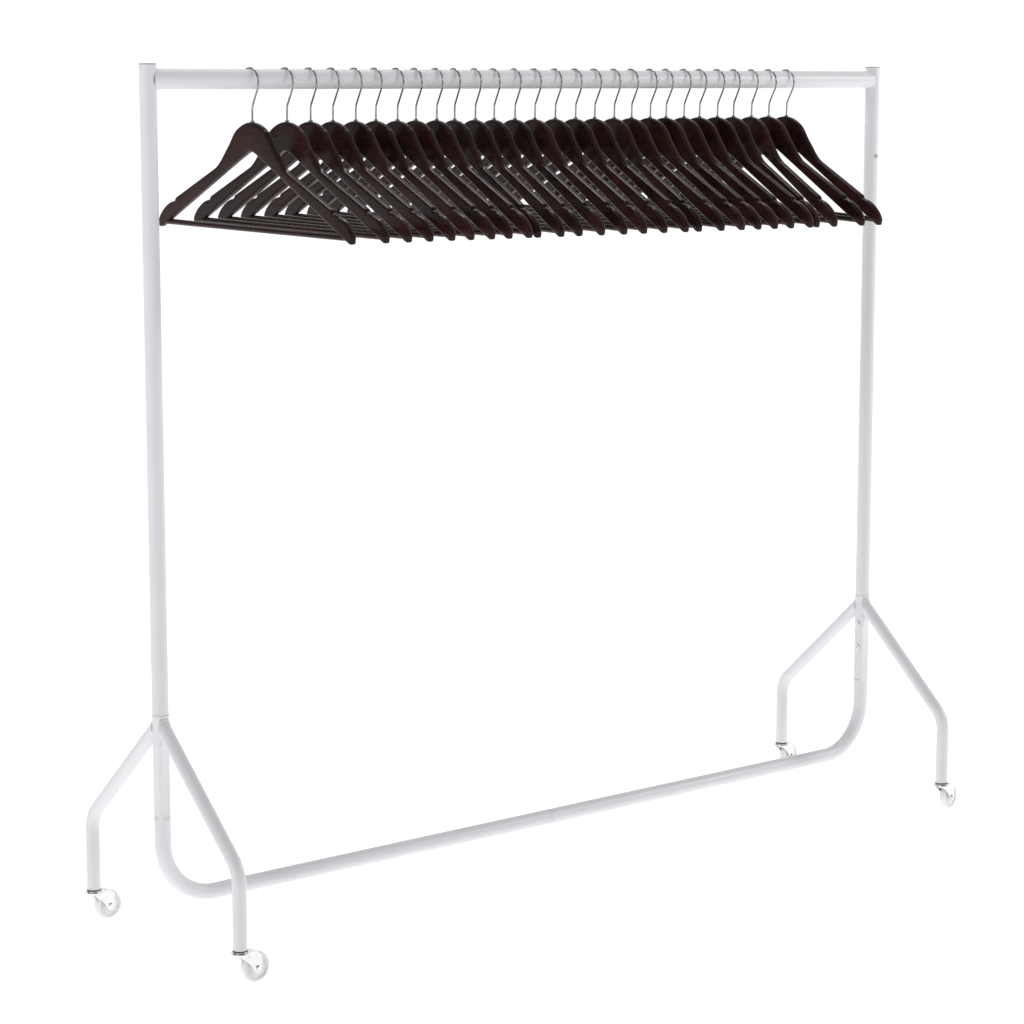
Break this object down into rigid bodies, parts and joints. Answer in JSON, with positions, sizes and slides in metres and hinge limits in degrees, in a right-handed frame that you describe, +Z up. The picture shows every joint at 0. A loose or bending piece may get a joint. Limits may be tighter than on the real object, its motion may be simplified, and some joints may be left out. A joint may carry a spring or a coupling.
{
  "type": "rolling clothes rack",
  "caption": "Tubular rolling garment rack: A-frame ends on swivel castors, a round hanging rail above, a low tie rail, and wooden suit hangers on the rail.",
  "frame": {"origin": "on the floor, midway between the two A-frames and midway between the front and rear legs", "axes": "+Z up, X along the hanging rail, -Y towards the front, where the hooks' backs face"},
  "size_m": [1.6131, 0.5231, 1.35],
  "materials": {
    "white_powder_coat": "smooth white powder coat, satin",
    "grey_plastic": "moulded grey plastic, matt",
    "black_plastic": "moulded black plastic, matt",
    "zinc_steel": "bright zinc-plated pressed steel",
    "white_nylon": "natural white nylon, slightly translucent",
    "dark_wood": "very dark mahogany lacquer with a soft gloss",
    "chrome_wire": "polished chromed wire"
  },
  "bodies": {
    "rack_frame": {"top_rail": "white_powder_coat", "left_upright": "white_powder_coat", "right_upright": "white_powder_coat", "bottom_rail_left": "white_powder_coat", "bottom_rail_right": "white_powder_coat", "front_left_leg": "white_powder_coat", "rear_left_leg": "white_powder_coat", "front_right_leg": "white_powder_coat", "rear_right_leg": "white_powder_coat", "upright_spigots": "white_powder_coat", "rail_spigots": "white_powder_coat", "upright_caps": "grey_plastic", "upright_plug": "grey_plastic", "castor_inserts": "black_plastic", "castor_stems": "zinc_steel", "frame_bolts": "zinc_steel", "rail_joiner": "zinc_steel"},
    "front_left_swivel": {"front_left_castor_fork": "zinc_steel", "front_left_castor_axle": "zinc_steel"},
    "front_left_wheel": {"front_left_castor_wheel": "white_nylon"},
    "rear_left_swivel": {"rear_left_castor_fork": "zinc_steel", "rear_left_castor_axle": "zinc_steel"},
    "rear_left_wheel": {"rear_left_castor_wheel": "white_nylon"},
    "front_right_swivel": {"front_right_castor_fork": "zinc_steel", "front_right_castor_axle": "zinc_steel"},
    "front_right_wheel": {"front_right_castor_wheel": "white_nylon"},
    "rear_right_swivel": {"rear_right_castor_fork": "zinc_steel", "rear_right_castor_axle": "zinc_steel"},
    "rear_right_wheel": {"rear_right_castor_wheel": "white_nylon"},
    "hanger_01": {"hanger_01": "dark_wood"},
    "hanger_02": {"hanger_02": "dark_wood"},
    "hanger_03": {"hanger_03": "dark_wood"},
    "hanger_04": {"hanger_04": "dark_wood"},
    "hanger_05": {"hanger_05": "dark_wood"},
    "hanger_06": {"hanger_06": "dark_wood"},
    "hanger_07": {"hanger_07": "dark_wood"},
    "hanger_08": {"hanger_08": "dark_wood"},
    "hanger_09": {"hanger_09": "dark_wood"},
    "hanger_10": {"hanger_10": "dark_wood"},
    "hanger_11": {"hanger_11": "dark_wood"},
    "hanger_12": {"hanger_12": "dark_wood"},
    "hanger_13": {"hanger_13": "dark_wood"},
    "hanger_14": {"hanger_14": "dark_wood"},
    "hanger_15": {"hanger_15": "dark_wood"},
    "hanger_16": {"hanger_16": "dark_wood"},
    "hanger_17": {"hanger_17": "dark_wood"},
    "hanger_18": {"hanger_18": "dark_wood"},
    "hanger_19": {"hanger_19": "dark_wood"},
    "hanger_20": {"hanger_20": "dark_wood"},
    "hanger_21": {"hanger_21": "dark_wood"},
    "hanger_22": {"hanger_22": "dark_wood"},
    "hanger_23": {"hanger_23": "dark_wood"},
    "hanger_24": {"hanger_24": "dark_wood"},
    "hanger_25": {"hanger_25": "dark_wood"},
    "hanger_26": {"hanger_26": "dark_wood"},
    "hanger_27": {"hanger_27": "dark_wood"},
    "hanger_28": {"hanger_28": "dark_wood"}
  },
  "joints": [
    {"name": "front_left_swivel_turn", "type": "hinge", "parent": "rack_frame", "child": "front_left_swivel", "pos_m": [-0.7747, -0.205, 0.048], "axis": [0, 0, 1], "continuous": true},
    {"name": "front_left_wheel_spin", "type": "hinge", "parent": "front_left_swivel", "child": "front_left_wheel", "pos_m": [-0.7487, -0.205, 0.024], "axis": [0, 1, 0], "continuous": true},
    {"name": "rear_left_swivel_turn", "type": "hinge", "parent": "rack_frame", "child": "rear_left_swivel", "pos_m": [-0.7747, 0.205, 0.048], "axis": [0, 0, 1], "continuous": true},
    {"name": "rear_left_wheel_spin", "type": "hinge", "parent": "rear_left_swivel", "child": "rear_left_wheel", "pos_m": [-0.74876, 0.20681, 0.024], "axis": [-0.0698, 0.9976, 0], "continuous": true},
    {"name": "front_right_swivel_turn", "type": "hinge", "parent": "rack_frame", "child": "front_right_swivel", "pos_m": [0.7747, -0.205, 0.048], "axis": [0, 0, 1], "continuous": true},
    {"name": "front_right_wheel_spin", "type": "hinge", "parent": "front_right_swivel", "child": "front_right_wheel", "pos_m": [0.80013, -0.19959, 0.024], "axis": [-0.2079, 0.9781, 0], "continuous": true},
    {"name": "rear_right_swivel_turn", "type": "hinge", "parent": "rack_frame", "child": "rear_right_swivel", "pos_m": [0.7747, 0.205, 0.048], "axis": [0, 0, 1], "continuous": true},
    {"name": "rear_right_wheel_spin", "type": "hinge", "parent": "rear_right_swivel", "child": "rear_right_wheel", "pos_m": [0.80013, 0.21041, 0.024], "axis": [-0.2079, 0.9781, 0], "continuous": true},
    {"name": "hanger_01_slide", "type": "slide", "parent": "rack_frame", "child": "hanger_01", "axis": [1, 0, 0], "range_m": [-0.155, 0.0243]},
    {"name": "hanger_02_slide", "type": "slide", "parent": "rack_frame", "child": "hanger_02", "axis": [1, 0, 0], "range_m": [-0.0243, 0.0145]},
    {"name": "hanger_03_slide", "type": "slide", "parent": "rack_frame", "child": "hanger_03", "axis": [1, 0, 0], "range_m": [-0.0145, 0.0135]},
    {"name": "hanger_04_slide", "type": "slide", "parent": "rack_frame", "child": "hanger_04", "axis": [1, 0, 0], "range_m": [-0.0135, 0.0143]},
    {"name": "hanger_05_slide", "type": "slide", "parent": "rack_frame", "child": "hanger_05", "axis": [1, 0, 0], "range_m": [-0.0143, 0.0119]},
    {"name": "hanger_06_slide", "type": "slide", "parent": "rack_frame", "child": "hanger_06", "axis": [1, 0, 0], "range_m": [-0.0119, 0.0137]},
    {"name": "hanger_07_slide", "type": "slide", "parent": "rack_frame", "child": "hanger_07", "axis": [1, 0, 0], "range_m": [-0.0137, 0.0107]},
    {"name": "hanger_08_slide", "type": "slide", "parent": "rack_frame", "child": "hanger_08", "axis": [1, 0, 0], "range_m": [-0.0107, 0.0133]},
    {"name": "hanger_09_slide", "type": "slide", "parent": "rack_frame", "child": "hanger_09", "axis": [1, 0, 0], "range_m": [-0.0133, 0.0025]},
    {"name": "hanger_10_slide", "type": "slide", "parent": "rack_frame", "child": "hanger_10", "axis": [1, 0, 0], "range_m": [-0.0025, 0.0126]},
    {"name": "hanger_11_slide", "type": "slide", "parent": "rack_frame", "child": "hanger_11", "axis": [1, 0, 0], "range_m": [-0.0126, 0.0122]},
    {"name": "hanger_12_slide", "type": "slide", "parent": "rack_frame", "child": "hanger_12", "axis": [1, 0, 0], "range_m": [-0.0122, 0.0142]},
    {"name": "hanger_13_slide", "type": "slide", "parent": "rack_frame", "child": "hanger_13", "axis": [1, 0, 0], "range_m": [-0.0142, 0.0123]},
    {"name": "hanger_14_slide", "type": "slide", "parent": "rack_frame", "child": "hanger_14", "axis": [1, 0, 0], "range_m": [-0.0123, 0.0148]},
    {"name": "hanger_15_slide", "type": "slide", "parent": "rack_frame", "child": "hanger_15", "axis": [1, 0, 0], "range_m": [-0.0148, 0.0154]},
    {"name": "hanger_16_slide", "type": "slide", "parent": "rack_frame", "child": "hanger_16", "axis": [1, 0, 0], "range_m": [-0.0154, 0.0123]},
    {"name": "hanger_17_slide", "type": "slide", "parent": "rack_frame", "child": "hanger_17", "axis": [1, 0, 0], "range_m": [-0.0123, 0.0083]},
    {"name": "hanger_18_slide", "type": "slide", "parent": "rack_frame", "child": "hanger_18", "axis": [1, 0, 0], "range_m": [-0.0083, 0.0075]},
    {"name": "hanger_19_slide", "type": "slide", "parent": "rack_frame", "child": "hanger_19", "axis": [1, 0, 0], "range_m": [-0.0075, 0.013]},
    {"name": "hanger_20_slide", "type": "slide", "parent": "rack_frame", "child": "hanger_20", "axis": [1, 0, 0], "range_m": [-0.013, 0.011]},
    {"name": "hanger_21_slide", "type": "slide", "parent": "rack_frame", "child": "hanger_21", "axis": [1, 0, 0], "range_m": [-0.011, 0.0127]},
    {"name": "hanger_22_slide", "type": "slide", "parent": "rack_frame", "child": "hanger_22", "axis": [1, 0, 0], "range_m": [-0.0127, 0.011]},
    {"name": "hanger_23_slide", "type": "slide", "parent": "rack_frame", "child": "hanger_23", "axis": [1, 0, 0], "range_m": [-0.011, 0.0132]},
    {"name": "hanger_24_slide", "type": "slide", "parent": "rack_frame", "child": "hanger_24", "axis": [1, 0, 0], "range_m": [-0.0132, 0.0012]},
    {"name": "hanger_25_slide", "type": "slide", "parent": "rack_frame", "child": "hanger_25", "axis": [1, 0, 0], "range_m": [-0.0012, 0.015]},
    {"name": "hanger_26_slide", "type": "slide", "parent": "rack_frame", "child": "hanger_26", "axis": [1, 0, 0], "range_m": [-0.015, 0.0028]},
    {"name": "hanger_27_slide", "type": "slide", "parent": "rack_frame", "child": "hanger_27", "axis": [1, 0, 0], "range_m": [-0.0028, 0.0149]},
    {"name": "hanger_28_slide", "type": "slide", "parent": "rack_frame", "child": "hanger_28", "axis": [1, 0, 0], "range_m": [-0.0149, 0.185]}
  ]
}
